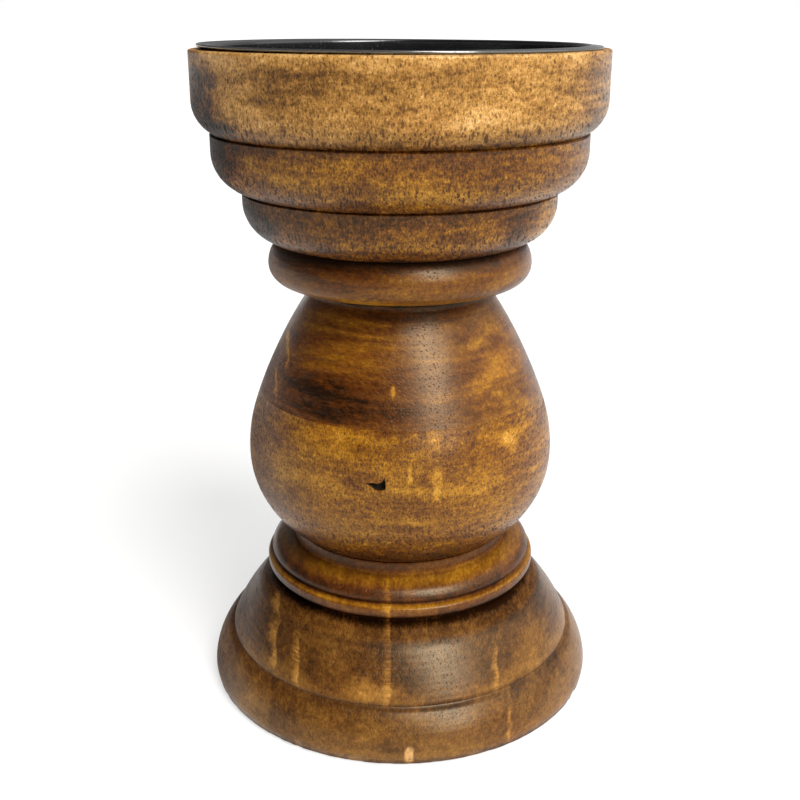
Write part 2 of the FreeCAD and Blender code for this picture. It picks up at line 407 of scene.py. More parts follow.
def spin(name, rows, angles, shape):
    """A mesh object from outline rows (radius, height) in metres and a list of angles in degrees.
    Angle 0 is the front, and 90 is the right-hand side. shape moves the points, in millimetres, and
    hands back the notes that the mesh carries for its finish."""
    turn = np.radians(np.asarray(angles))[None, :]
    radius = np.repeat(rows[1:-1, 0:1] / MM, turn.shape[1], axis=1)
    height = np.repeat(rows[1:-1, 1:2] / MM, turn.shape[1], axis=1)
    facing = np.gradient(rows[:, 0] / MM), np.gradient(rows[:, 1] / MM)
    length = np.hypot(*facing) + 1e-9
    outward = (facing[1] / length)[1:-1, None], (-facing[0] / length)[1:-1, None]
    (radius, height), notes = shape(turn, radius, height, outward)
    count = turn.shape[1]
    points = np.stack([radius * np.sin(turn), -radius * np.cos(turn), height], axis=-1).reshape(-1, 3)
    low_end = (0.0, 0.0, rows[0, 1] / MM)
    high_end = (0.0, 0.0, rows[-1, 1] / MM)
    points = np.vstack([points, [low_end, high_end]]) * MM
    total = radius.shape[0]
    faces = []
    for i in range(total - 1):
        for j in range(count):
            k = (j + 1) % count
            faces.append((i * count + j, i * count + k, (i + 1) * count + k, (i + 1) * count + j))
    bottom, top = total * count, total * count + 1
    for j in range(count):
        k = (j + 1) % count
        faces.append((bottom, k, j))
        faces.append((top, (total - 1) * count + j, (total - 1) * count + k))
    mesh = bpy.data.meshes.new(name)
    mesh.from_pydata(points.tolist(), [], faces)
    mesh.validate()
    mesh.polygons.foreach_set("use_smooth", [True] * len(mesh.polygons))
    mesh.set_sharp_from_angle(angle=math.radians(SHARP_ABOVE))
    notes["hollow"] = hollow(radius, height)
    for key, values in notes.items():
        flat = np.concatenate([np.broadcast_to(values, radius.shape).ravel(), [0.0, 0.0]])
        mesh.attributes.new(key, "FLOAT", "POINT").data.foreach_set("value", flat.astype(np.float32))
    piece = bpy.data.objects.new(name, mesh)
    bpy.context.scene.collection.objects.link(piece)
    print(name, "has", len(points), "points and", len(faces), "faces")
    return piece


USUAL_RADIUS = 42


def ripples(turn, height, seed, size, count=7):
    """Soft uneven waves over a turned surface, from -1 to 1, about size millimetres across."""
    dice = random.Random(seed)
    total = np.zeros(np.broadcast(turn, height).shape)
    for _ in range(count):
        waves = max(1, round(2 * math.pi * USUAL_RADIUS / (size * dice.uniform(0.7, 1.6))))
        rise = 2 * math.pi / (size * dice.uniform(0.7, 1.6)) * dice.choice((-1, 1))
        total += np.cos(waves * turn + rise * height + dice.uniform(0, 2 * math.pi))
    return total / count


def by_hand(turn, height, seed):
    """How far hand work has cut below the true outline, in millimetres, and always inward: the blank
    dried slightly oval, sandpaper left soft dips, and the gouge left a fine spiral."""
    oval = 0.05 * (1 - np.cos(2 * turn + seed))
    dips = 0.07 * (0.5 + 0.5 * ripples(turn, height, seed, 16))
    spiral = 0.012 * (1 + np.sin(2 * math.pi * height / 1.4 + 0.6 * np.sin(turn * 2 + seed)))
    return oval + dips + spiral


def even(count):
    return np.arange(count) * 360.0 / count - 180.0


print("hand work cuts in by up to", round(float(by_hand(np.radians(even(90)), 60.0, 3).max()), 2), "mm")

# %% [markdown]
# ## The foot
# The foot is a bell on a rounded base ring, with a thin flange and a soft cuff above. Its lower edge
# has had a hard life: it is nibbled all round, with a few bigger chips where bare wood shows. The
# chips are modelled, because they break the silhouette.

# %% Foot
def soft(value, low, high):
    """0 below low, 1 above high, with a soft step between."""
    t = np.clip((value - low) / (high - low), 0, 1)
    return t * t * (3 - 2 * t)


def chip_field(turn, radius, height, chips):
    """Depth of listed chips, each (angle, height, half width, half height, cut), and the bare
    wood that shows in the deep ones."""
    depth, bare = np.zeros(radius.shape), np.zeros(radius.shape)
    for angle, level, half_wide, half_tall, cut in chips:
        across = (turn - math.radians(angle)) * radius / half_wide
        along = (height - level) / half_tall
        spot = soft(1 - (np.abs(across) ** 2.5 + np.abs(along) ** 2.5), 0.0, 0.7)
        depth = np.maximum(depth, spot * cut)
        bare = np.maximum(bare, spot * min(1, cut / 0.45) ** 2)
    return depth, bare


BASE_WALL = 44.5
BASE_TOP = 12
FOOT_JOINT = 27
FOOT_CHIPS = [(2.6, 3.0, 1.3, 2.6, 0.45), (-12.5, 0.8, 2.6, 1.1, 0.25), (-16.5, 1.0, 1.3, 0.9, 0.2),
              (-23.0, 0.7, 2.8, 1.0, 0.2), (-29.5, 1.2, 1.2, 1.5, 0.25), (-38.0, 0.8, 2.2, 0.8, 0.2),
              (11.0, 0.6, 2.4, 0.7, 0.15), (21.0, 0.7, 3.0, 0.8, 0.2), (-3.5, 0.6, 1.6, 0.7, 0.15),
              (64.0, 0.9, 2.0, 1.2, 0.3), (118.0, 0.8, 3.1, 1.0, 0.3), (159.0, 0.7, 1.7, 0.8, 0.2),
              (-74.0, 0.9, 1.9, 1.0, 0.25), (-131.0, 0.8, 2.8, 1.1, 0.3), (-166.0, 0.7, 1.4, 0.9, 0.2)]


def foot_shape(turn, radius, height, outward):
    cut = by_hand(turn, height, seed=3)
    outer = (radius > BASE_WALL) & (height < BASE_TOP)
    near_edge = soft(2.6 - height, 0, 2.4) * outer
    nibble = near_edge * 0.22 * soft(ripples(turn, height * 0, 11, 4.5), -0.1, 0.8)
    depth, bare = chip_field(turn, radius, height, FOOT_CHIPS)
    cut = cut * (radius > FOOT_JOINT) + nibble + depth * outer
    lift = near_edge * 0.15 * soft(ripples(turn, height * 0, 12, 6.0), 0.0, 0.8) * (height < 0.9)
    # Along the lowest rim: grime, and painted contact shadow where the foot meets the floor.
    grimy_shaded_edge = near_edge * soft(ripples(turn, height * 2, 13, 3.0), -0.2, 0.5) * (height < 1.8)
    return (radius - cut * outward[0], height + lift - cut * outward[1] * (height > 2)), {
        "bare": bare * outer, "grime_and_contact_shade": grimy_shaded_edge}


def fine_outside(hidden_radius, fine=0.7, coarse=5.0):
    """A step rule: fine where the surface shows, coarse on joint faces and in dowel holes."""
    return lambda point: (coarse if point[0] / MM < hidden_radius else fine) * MM


foot_rows = sanded(outline("foot", fine_outside(28.0, fine=0.45)), 0.38 * MM,
                   lambda r, z: 28.5 < r and 1.2 < z < 42.0)
foot = spin("turned_foot", foot_rows, even(720), foot_shape)

# %% [markdown]
# ## The bulb
# The bulb was glued up from two blocks before it was turned: the joint shows as a level line where
# dark wood changes to golden. A small bark hole is left in the lower block. It is a real pit, so the
# mesh is made finer round it and pushed in by the distance to the hole's given border.

# %% Bulb
BARK_HOLE = {"angle": -8.2, "height": 67.6, "deep": 1.9, "border": [
    (-2.35, 0.15), (-0.9, 0.3), (0.6, 0.25), (1.5, 0.75), (1.95, 1.75), (2.2, 0.3), (2.25, -1.15),
    (1.0, -1.45), (-0.2, -1.35), (-1.1, -0.7)]}


def depth_inside(across, along, border):
    """Distance inside a closed border, in millimetres, and negative outside it."""
    inside = np.zeros(across.shape, bool)
    nearest = np.full(across.shape, 1e9)
    for (x0, y0), (x1, y1) in zip(border, border[1:] + border[:1]):
        crosses = (y0 > along) != (y1 > along)
        where = x0 + (along - y0) * (x1 - x0) / ((y1 - y0) or 1e-9)
        inside ^= crosses & (across < where)
        dx, dy = x1 - x0, y1 - y0
        t = np.clip(((across - x0) * dx + (along - y0) * dy) / (dx * dx + dy * dy), 0, 1)
        nearest = np.minimum(nearest, np.hypot(across - x0 - t * dx, along - y0 - t * dy))
    return np.where(inside, nearest, -nearest)


GLUE_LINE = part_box("lower_bulb")[1].z / MM


def flush_joint(height, outward):
    """At the glue line both blocks are cut straight inward, so that no groove opens between them."""
    at_joint = np.abs(height - GLUE_LINE) < 0.05
    return np.where(at_joint, 0.95, outward[0]), np.where(at_joint, 0.0, outward[1])


def lower_bulb_shape(turn, radius, height, outward):
    outward = flush_joint(height, outward)
    shown = radius > FOOT_JOINT
    cut = by_hand(turn, height, seed=5) * shown
    across = (turn - math.radians(BARK_HOLE["angle"])) * radius
    inside = depth_inside(across, height - BARK_HOLE["height"], BARK_HOLE["border"])
    pit = soft(inside, -0.06, 0.42) * shown
    cut = cut + pit * BARK_HOLE["deep"]
    return (radius - cut * outward[0], height - cut * outward[1]), {
        "pit": soft(inside, -0.08, 0.12) * shown}


def closer_round(angles, centre, half, step):
    """Even angles, with extra ones a step apart near one place."""
    extra = np.arange(centre - half, centre + half + step / 2, step)
    kept = [a for a in angles if abs(a - centre) > half + step / 2]
    return np.array(sorted([*kept, *extra]))


def lower_bulb_step(point):
    r, z = point / MM
    if r < FOOT_JOINT + 0.5:
        return 5.0 * MM
    return (0.2 if abs(z - BARK_HOLE["height"]) < 2.6 else 0.7) * MM


lower_bulb = spin("turned_lower_bulb", outline("lower_bulb", lower_bulb_step),
                  closer_round(even(480), BARK_HOLE["angle"], 4.2, 0.28), lower_bulb_shape)


NECK_JOINT = 21.5


def upper_bulb_shape(turn, radius, height, outward):
    outward = flush_joint(height, outward)
    cut = by_hand(turn, height, seed=5) * (radius > NECK_JOINT)
    return (radius - cut * outward[0], height - cut * outward[1]), {}


upper_bulb = spin("turned_upper_bulb", outline("upper_bulb", fine_outside(NECK_JOINT)), even(480),
                  upper_bulb_shape)

# %% [markdown]
# ## The cup
# Three rounded rings step outward, each flat on top and curved beneath. A plain recess is turned
# into the top for the pan, and its wood stays raw. The rings' crests get a few tiny dents, again cut
# inward only.

# %% Cup
CUP_DENTS = [(-57.0, 143.2, 1.2, 0.7, 0.25), (33.0, 143.0, 0.9, 0.5, 0.2), (71.0, 129.4, 1.1, 0.6, 0.25),
             (-24.5, 152.4, 0.5, 0.5, 0.12), (140.0, 142.9, 1.6, 0.8, 0.3), (-120.0, 160.9, 1.5, 0.6, 0.3),
             (95.0, 160.8, 1.2, 0.5, 0.25), (-160.0, 129.5, 1.2, 0.7, 0.25), (178.0, 118.0, 1.3, 0.7, 0.2)]


CUP_JOINT = 29
TOP_RIM = 46.5
RECESS_WALL = 44.6


def cup_shape(turn, radius, height, outward):
    outside = (radius > CUP_JOINT) & ~((radius < TOP_RIM) & (height > 145))
    depth, bare = chip_field(turn, radius, height, CUP_DENTS)
    cut = by_hand(turn, height, seed=13) * outside + depth * outside
    raw = ((radius < RECESS_WALL) & (height > 150)) * 1.0
    return (radius - cut * outward[0], height - cut * outward[1]), {
        "bare": bare * outside, "raw": raw}


def cup_step(point):
    r, z = point / MM
    if z < 132 and r < CUP_JOINT + 0.5:
        return 5.0 * MM
    return (1.6 if r < 44 else 0.65) * MM


cup = spin("turned_cup", outline("cup", cup_step), even(560), cup_shape)

# %% [markdown]
# ## The candle pan
# A shallow pan pressed from thin steel sheet, with a lip that rests on the wood. Thin lips never stay
# flat: this one stands a little high on the left and lies close on the right. So the CAD outline is
# spun again, and the lip alone is bent down by a fraction of a millimetre, more towards the right.

# %% Pan
WOOD_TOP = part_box("cup")[1].z / MM
PAN_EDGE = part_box("candle_pan")[1].x / MM


def pan_shape(turn, radius, height, outward):
    on_lip = soft(radius, 44.1, PAN_EDGE - 0.4)
    droop = 0.325 * (1 + np.sin(turn)) + 0.05 * (1 + ripples(turn, height * 0, 21, 60, count=3))
    lowered = height - np.maximum(droop, 0) * on_lip
    clear = WOOD_TOP + 0.04
    over_wood = (radius > RECESS_WALL) & (height > WOOD_TOP - 0.01)
    lowered = np.where(over_wood, np.maximum(lowered, clear), lowered)
    pressed_in = 0.03 * on_lip * (1 + ripples(turn, height * 0, 22, 25, count=4))
    return (radius - pressed_in, lowered), {}


def pan_step(point):
    r, z = point / MM
    return (2.5 if r < 38 else 0.35) * MM


candle_pan = spin("pressed_pan", outline("candle_pan", pan_step), even(480), pan_shape)

# %% [markdown]
# ## The felt
# A disc of pressed wool felt is glued into the recess under the foot. Cut by hand, its rim is not
# quite round, and its face is slightly uneven.

# %% Felt
def felt_shape(turn, radius, height, outward):
    rim = soft(radius, 42.5, 44.0)
    uneven = 0.16 * (1 + ripples(turn, height * 0, 31, 12)) * rim
    dip = 0.12 * soft(ripples(turn, radius * 1.0, 32, 7), -0.3, 0.9) * (height < 0.6) * soft(radius, 3, 8)
    return (radius - uneven, height + dip), {}


felt_disc = spin("felt_disc", outline("base_felt", lambda point: 0.9 * MM), even(360), felt_shape)

# %% [markdown]
# ## Joining the pieces to the frame
# Each visible piece stands for one CAD piece and moves with that piece's body. The wood and the felt
# are one body, the holder. The pan is another, because it lifts out.

# %% Join the pieces to the frame
for piece, body, node, slot in (
        (foot, "holder", "foot", "foot_wood"),
        (lower_bulb, "holder", "lower_bulb", "lower_bulb_wood"),
        (upper_bulb, "holder", "upper_bulb", "upper_bulb_wood"),
        (cup, "holder", "cup", "cup_wood"),
        (candle_pan, "pan", "candle_pan", "pan_steel"),
        (felt_disc, "holder", "base_felt", "felt")):
    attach(piece, body)
    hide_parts(node)
    print(piece.name, "stands for", node, "and moves with", body)

# %% [markdown]
# ## Stained, rubbed and waxed wood
# All four blocks are one kind of wood, with one way of finishing, but each was cut from another
# plank and took the stain differently. So one recipe makes the wood, and each block gets its own
# grain direction, its own stain by height, and its own streaks.
#
# The recipe works as the finisher did. First it settles how much stain every point has kept: a share
# from 0, bare golden wood, to 1, almost black; in a few places the share also holds painted shade and
# painted light. Then a palette turns that share into colour. Three palettes cover the object: most of
# it is golden, the foot is smokier, and the top ring is paler.

# %% Stain palettes
GOLDEN = [(0.00, tint(212, 166, 92)), (0.22, tint(184, 134, 52)), (0.42, tint(154, 105, 22)),
          (0.62, tint(112, 68, 14)), (0.80, tint(78, 38, 7)), (1.00, tint(28, 11, 2))]
SMOKED = [(0.00, tint(210, 166, 108)), (0.22, tint(178, 132, 66)), (0.42, tint(146, 102, 44)),
          (0.62, tint(112, 74, 28)), (0.80, tint(78, 46, 15)), (1.00, tint(28, 11, 2))]
PALE_GOLD = [(0.00, tint(220, 178, 118)), (0.22, tint(192, 145, 80)), (0.42, tint(160, 114, 52)),
             (0.62, tint(118, 78, 27)), (0.80, tint(82, 47, 12)), (1.00, tint(30, 13, 3))]
WOOD_AT_CHIP = tint(196, 150, 92)
RAW_RECESS = tint(160, 112, 62)
# Grime and painted contact shadow for the foot's lowest edge.
GRIME_AND_CONTACT_SHADE = tint(46, 25, 12)
BARK = [(0.35, tint(10, 7, 6)), (0.65, tint(30, 20, 16))]
WARM_WAX = tint(255, 236, 200)
print("each palette has", len(GOLDEN), "steps from bare wood to the darkest stain")

# %% [markdown]
# ## Patterns in the wood
# Grain runs along the plank, so most patterns are one soft noise stretched along it: small amounts
# give long marks, and large ones short marks. The lathe's fine lines and the drift of a rubbing
# hand belong to the turned piece instead, so they aren't turned to the grain.

# %% Wood patterns
def wood_patterns(wood, grain, seed, rings):
    """The noises that one block shares among its colour, its pores and its wax."""
    seeded = wood.stretch(wood.place, (1, 1, 1), shift=(seed * 31.7, seed * 17.3, seed * 7.9))
    along = wood.stretch(seeded, (1, 1, 1), turn=grain)

    def grained(amounts, **how):
        return wood.cloud(wood.stretch(along, amounts), **how)

    def free(amounts, **how):
        return wood.cloud(wood.stretch(seeded, amounts), **how)

    look = SimpleNamespace(
        along=along,
        blotches=grained((0.035, 0.06, 0.10), detail=4, rough=0.6, warp=0.8),
        bands=grained(rings, detail=5, rough=0.62, warp=0.5),
        mottle=grained((0.35, 0.8, 0.8), detail=7, rough=0.82),
        fleck=grained((0.9, 2.6, 1.5), detail=3, rough=0.7),
        fibres=grained((0.14, 2.6, 2.6), detail=3, rough=0.65),
        turning=free((0.05, 0.05, 2.6), detail=4, rough=0.7),
        drift=free((0.15, 0.15, 0.22), detail=3, rough=0.6),
        warm=free((0.03, 0.03, 0.05), detail=2))
    look.crease = wood.fade(wood.note("hollow"), 0.7, 3.6)
    look.crest = wood.fade(wood.note("hollow"), -0.7, -2.2)
    return look


def centred(wood, pattern, amount):
    """A pattern that lifts and lowers evenly, by at most half of amount each way."""
    return wood.times(wood.plus(pattern, -0.5), amount)


print("wood patterns are in millimetres: 0.035 gives marks about", round(1 / 0.035), "mm long")

# %% [markdown]
# ## How much stain is left
# Each block has a list of how much stain it keeps at each height: most at the glue joints and in the
# creases, least on the crests. In the foot's list the darkest heights, in the crevice under the flange
# and along the lowest edge, are painted shade over the stain. Blotches, growth bands and fine mottle
# add to it and take from it. Streaks are upright lines where a rag rubbed through, soft on one side
# and sharp on the other. Patches are egg-shaped places that are darker or paler, with edges that
# wander: some are stain, and those on the left and right sides of the blocks are painted shade and
# painted light.

# %% Stain
def stain_by_height(wood, stain):
    """The share of stain at each height, from a list of (height in mm, share)."""
    low, high = stain[0][0], stain[-1][0]
    level = wood.node("ShaderNodeMapRange", {"interpolation_type": "LINEAR"}, Value=wood.z)
    level.inputs["From Min"].default_value = low
    level.inputs["From Max"].default_value = high
    return wood.ramp(level.outputs["Result"], [
        ((z - low) / (high - low), (share,) * 3) for z, share in stain])


def stain_left(wood, look, by_height, blotch, band, speckle):
    """The share of stain after the plank's own patterns, its creases and its crests."""
    return wood.plus(
        by_height,
        centred(wood, look.blotches, blotch * 2.4),
        centred(wood, look.bands, band * 2.0),
        centred(wood, look.mottle, speckle * 1.4),
        centred(wood, look.fleck, speckle * 0.8),
        wood.times(look.crease, 0.18),
        wood.times(look.crest, wood.times(look.mottle, -0.15)))


def streaks_stain_and_light_patches(wood, look, share, streaks, patches):
    """Stain after streaks, (x, width, bottom, top, strength), and patches, (centre, size, strength).
    A patch of negative strength is darker, and a positive one paler. Patches on a block's left and
    right sides are painted shade and painted light; the rest are stain."""
    wander = centred(wood, look.drift, 3.2)
    broken = wood.fade(wood.plus(wood.times(look.drift, 0.5), wood.times(look.turning, 0.5)),
                       0.38, 0.62)
    for at, width, bottom, top, strength in streaks:
        across = wood.plus(wood.x, wander)
        soft_side = wood.fade(across, at - width, at)
        sharp_side = wood.fade(across, at, at + 0.7, 1.0, 0.0)
        in_height = wood.times(wood.fade(wood.z, bottom - 1.5, bottom + 2.0),
                               wood.fade(wood.z, top - 3.0, top + 1.5, 1.0, 0.0))
        share = wood.plus(share, wood.times(wood.times(soft_side, sharp_side), in_height,
                                            wood.plus(0.35, broken), -strength))
    for centre, size, strength in patches:
        edge = wood.plus(wood.far_from(centre, size), centred(wood, look.drift, 1.8))
        share = wood.plus(share, wood.times(wood.fade(edge, 0.2, 1.2, 1.0, 0.0), -strength))
    return share


def stain_colour(wood, look, share, palette, upper, red, lines):
    """The palette's colour, redder here and there, with fibres and the lathe's lines over it."""
    colour = wood.ramp(share, palette)
    if upper:
        start, other_palette = upper
        colour = wood.mix(wood.fade(wood.z, start, start + 1.5), colour, wood.ramp(share, other_palette))
    redder = wood.mix(1.0, colour, (1.0, 0.74, 0.55), "MULTIPLY")
    colour = wood.mix(wood.fade(look.warm, 0.45, 0.75, 0.0, red), colour, redder)
    shade = wood.plus(1.0, centred(wood, look.fibres, 0.7), centred(wood, look.turning, lines * 3.2))
    return wood.mix(1.0, colour, shade, "MULTIPLY")


# %% [markdown]
# ## Pores
# Pores are long thin tubes along the grain, which wander a little. A flat cell pattern, laid square to
# the grain and drawn out along it, makes them: dots where a tube is cut across and dashes where it
# is cut along, all from one pattern. On the undersides of the rings, where no rag reached, stain
# fills every pore, and the widest ones show there as dark strokes.

# %% Tubes along the grain
def tubes(wood, across, gap, wide, tall):
    """1 inside tubes about gap apart and wide across, in millimetres, and tall times as high as wide."""
    flat = wood.node("ShaderNodeCombineXYZ", X=wood.times(across.outputs["Y"], 1 / gap),
                     Y=wood.times(across.outputs["Z"], 1 / (gap * tall)))
    cells = wood.node("ShaderNodeTexVoronoi", {"feature": "F1", "voronoi_dimensions": "2D"},
                      Scale=1.0, Randomness=0.9, Vector=flat.outputs[0])
    chance = wood.node("ShaderNodeSeparateColor", Color=cells.outputs["Color"]).outputs["Red"]
    size = wood.plus(wide / gap * 0.45, wood.times(chance, wide / gap * 0.8))
    return wood.fade(wood.calc("SUBTRACT", size, cells.outputs["Distance"]), -0.04, 0.07)


def stained_pores(wood, look, gap, wide, tall):
    """How dark the pores are at each point: fine ones all over, and more and wider ones beneath."""
    sway = wood.node("ShaderNodeTexNoise", Vector=wood.stretch(look.along, (0.05, 0.10, 0.10)),
                     Scale=1.0, Detail=1.0)
    swayed = wood.node("ShaderNodeVectorMath", {"operation": "MULTIPLY_ADD"})
    wood.feed(swayed.inputs[0], sway.outputs["Color"])
    swayed.inputs[1].default_value = (0.0, 2.6, 2.6)
    wood.feed(swayed.inputs[2], look.along)
    across = wood.node("ShaderNodeSeparateXYZ", Vector=swayed.outputs[0])
    surface = wood.node("ShaderNodeNewGeometry")
    facing = wood.node("ShaderNodeSeparateXYZ", Vector=surface.outputs["Normal"])
    underside = wood.fade(facing.outputs["Z"], -0.05, -0.45)
    some = wood.fade(wood.plus(look.mottle, wood.times(look.blotches, 0.3)), 0.50, 0.66)
    kept = wood.calc("MAXIMUM", wood.plus(0.30, wood.times(some, 0.5)), underside)
    pored = wood.times(tubes(wood, across, gap, wide, tall), kept)
    for gap_by, wide_by, tall_by, kept_here in ((0.52, 0.45, tall, 0.6), (1.6, 1.35, 3.4, underside)):
        more = wood.times(tubes(wood, across, gap * gap_by, wide * wide_by, tall_by), kept_here)
        pored = wood.calc("MAXIMUM", pored, more)
    return pored


USUAL_GAP, USUAL_WIDE, USUAL_TALL = 0.90, 0.20, 1.9
print("usual pores are", USUAL_WIDE, "mm wide and", USUAL_GAP, "mm apart")

# %% [markdown]
# ## Bare places and wax
# The notes that the meshes carry now take effect: chips show bare wood, the recess is raw, the
# lowest edge is grimy and darkened with painted contact shadow, and the small hole is black bark.
# Last comes wax, a satin coat. It is duller in creases, in pores and on bare wood, and hands have
# worn it off on the left side. Its gloss has a warm tint, because the wax itself is yellow.

# %% Places and wax
def marked_places(wood, look, colour):
    """Colour with the chips, the raw recess, grime with painted contact shadow at the lowest edge,
    and the bark hole; and how bare each point is.
    """
    bare = wood.times(wood.note("bare"), wood.fade(look.mottle, 0.30, 0.55))
    colour = wood.mix(bare, colour, WOOD_AT_CHIP)
    raw = wood.mix(1.0, RAW_RECESS, wood.plus(0.85, wood.times(look.turning, 0.25)), "MULTIPLY")
    colour = wood.mix(wood.note("raw"), colour, raw)
    colour = wood.mix(wood.times(wood.note("grime_and_contact_shade"), 0.7), colour, GRIME_AND_CONTACT_SHADE)
    bark = wood.ramp(wood.cloud(wood.stretch(wood.place, (2.5, 2.5, 2.5)), detail=3), BARK)
    return wood.mix(wood.fade(wood.note("pit"), 0.25, 0.8), colour, bark), bare


def waxed(wood, look, by_height, pored, bare, worn):
    """Roughness and shine of the wax: worn is a list of egg-shaped places, (centre, size)."""
    unpolished = wood.fade(by_height, 0.85, 0.97)
    dull = wood.plus(0.32, centred(wood, look.blotches, 0.22), wood.times(pored, 0.2),
                     wood.times(look.crease, 0.2), centred(wood, look.turning, 0.16),
                     wood.times(wood.note("pit"), 0.35), wood.times(wood.note("raw"), 0.3),
                     wood.times(bare, 0.2), wood.times(unpolished, 0.3))
    shine = wood.plus(0.44, wood.times(look.crease, -0.22), wood.times(unpolished, -0.24))
    for centre, size in worn:
        wax_left = wood.fade(wood.far_from(centre, size), 0.4, 1.2)
        shine = wood.times(shine, wood.plus(0.15, wood.times(wax_left, 0.85)))
        dull = wood.plus(dull, wood.times(wood.plus(1.0, wood.times(wax_left, -1.0)), 0.2))
    return dull, shine


# %% [markdown]
# ## The whole wood recipe
# The steps follow each other as on the real piece: patterns of the plank, stain, rubbing, pores,
# marks and wax. The bump is under a tenth of a millimetre, because the wax has filled most of the grain.

# %% The whole wood recipe
FULL_PORE = (0.26, 0.19, 0.14)
GRAIN_RELIEF = 0.00006


def stained_wood(name, grain, stain, palette=GOLDEN, upper=None, streaks=(), patches=(), worn=(),
                 seed=0.0, rings=(0.015, 0.09, 0.38), blotch=0.14, band=0.40, speckle=1.0, red=0.3,
                 lines=0.10, pore_dark=0.95, pore_wide=USUAL_WIDE, pore_tall=USUAL_TALL):
    """One block's wood. upper=(height, palette) changes the palette above that height."""
    wood = Finish(name)
    look = wood_patterns(wood, grain, seed, rings)
    by_height = stain_by_height(wood, stain)
    share = stain_left(wood, look, by_height, blotch, band, speckle)
    share = streaks_stain_and_light_patches(wood, look, share, streaks, patches)
    colour = stain_colour(wood, look, share, palette, upper, red, lines)
    pored = stained_pores(wood, look, USUAL_GAP, pore_wide, pore_tall)
    in_pores = wood.mix(1.0, colour, FULL_PORE, "MULTIPLY")
    colour = wood.mix(wood.times(pored, pore_dark), colour, in_pores)
    colour, bare = marked_places(wood, look, colour)
    dull, shine = waxed(wood, look, by_height, pored, bare, worn)
    height = wood.plus(wood.times(pored, -0.5), wood.times(look.fibres, 0.25),
                       wood.times(look.turning, 0.30))
    return wood.done(Base_Color=colour, Roughness=dull, Normal=wood.bump(height, GRAIN_RELIEF),
                     Specular_IOR_Level=shine, Specular_Tint=(*WARM_WAX, 1.0))


def paint(piece, material):
    piece.data.materials.clear()
    piece.data.materials.append(material)
    print(piece.name, "has", len(material.node_tree.nodes), "nodes in its finish")


def heading(degrees):
    """The turn that brings a grain running at that angle from the x axis into line with x."""
    return (0.0, 0.0, math.radians(-degrees))


# %% [markdown]
# ## The cup's wood
# The cup was cut so that its grain runs from front to back: the front shows the plank's end, as a
# field of short pores. Its top ring was rubbed palest, most of all on the crest.

# %% Cup wood
CUP_STAIN = [(117.0, 0.98), (118.2, 0.78), (121.0, 0.73), (124.5, 0.76), (126.5, 0.80), (128.9, 0.80),
             (130.3, 0.68), (133.5, 0.67), (136.5, 0.65), (139.0, 0.64), (142.5, 0.78), (144.2, 0.58),
             (147.5, 0.42), (152.0, 0.46), (156.5, 0.54), (160.0, 0.48), (161.1, 0.34)]
# Patches of stain and painted light: those at x = -35 to -45 are painted shade on the left side, the one at
# x = 44 is painted shade on the top ring's right, and the one at x = 34 is painted light on the third ring's
# right.
CUP_STAIN_AND_PAINTED_LIGHT_PATCHES = [((-23, -43, 153), (9, 12, 7), -0.10), ((-45, -20, 151), (10, 20, 12), -0.42),
               ((-42, -17, 136), (9, 18, 8), -0.36), ((-35, -14, 123), (11, 16, 8), -0.36),
               ((34, -14, 124), (10, 14, 9), 0.32), ((44, -20, 152), (10, 20, 11), -0.24),
               ((14, -45, 150), (12, 12, 5), 0.12), ((-18, -45, 157), (16, 12, 3), -0.12),
               ((-44, -26, 145), (14, 26, 6), -0.46), ((6, -42, 133.2), (34, 12, 2.4), 0.16),
               ((4, -34, 121.3), (26, 12, 2.0), 0.16)]
paint(cup, stained_wood("cup_wood", heading(84), CUP_STAIN, upper=(142.0, PALE_GOLD), seed=1.0,
                        patches=CUP_STAIN_AND_PAINTED_LIGHT_PATCHES, worn=[((-50, -10, 135), (30, 45, 32))], red=0.25))

# %% [markdown]
# ## The bulb's wood
# The upper block is darker, its grain runs aslant, and the lathe's lines show most on it. The lower
# block is golden, with more open pores. Their two colours meet at the glue line, which gives the
# joint away.

# %% Upper bulb wood
UPPER_STAIN = [(79.5, 0.74), (84.0, 0.80), (92.0, 0.74), (100.0, 0.68), (103.8, 0.76), (105.5, 1.0),
               (106.9, 0.70), (109.5, 0.70), (112.5, 0.73), (114.5, 0.80), (117.0, 1.0)]
# A pale fleck of stain, painted shade on the left at x = -22, and painted light on the right at x = 28.
UPPER_STAIN_AND_PAINTED_LIGHT_PATCHES = [((-1.6, -32.0, 87.7), (0.6, 3.0, 1.6), 0.35), ((-22, -27, 84), (18, 14, 6), -0.16),
                 ((28, -20, 88), (13, 16, 16), 0.20)]
paint(upper_bulb, stained_wood("upper_bulb_wood", heading(-37), UPPER_STAIN, seed=2.0,
                               streaks=[(-30.0, 1.0, 80.0, 88.0, 0.35), (-27.0, 0.8, 88.0, 97.0, 0.35)],
                               patches=UPPER_STAIN_AND_PAINTED_LIGHT_PATCHES, worn=[((-42, -8, 100), (18, 40, 40))],
                               rings=(0.03, 0.05, 0.30), speckle=0.5, lines=0.20,
                               pore_dark=0.5, pore_wide=0.16, pore_tall=1.2))

# %% Lower bulb wood
LOWER_STAIN = [(42.4, 0.84), (45.0, 0.86), (47.5, 0.80), (50.0, 0.66), (54.0, 0.60), (62.0, 0.59),
               (70.0, 0.58), (79.5, 0.62)]
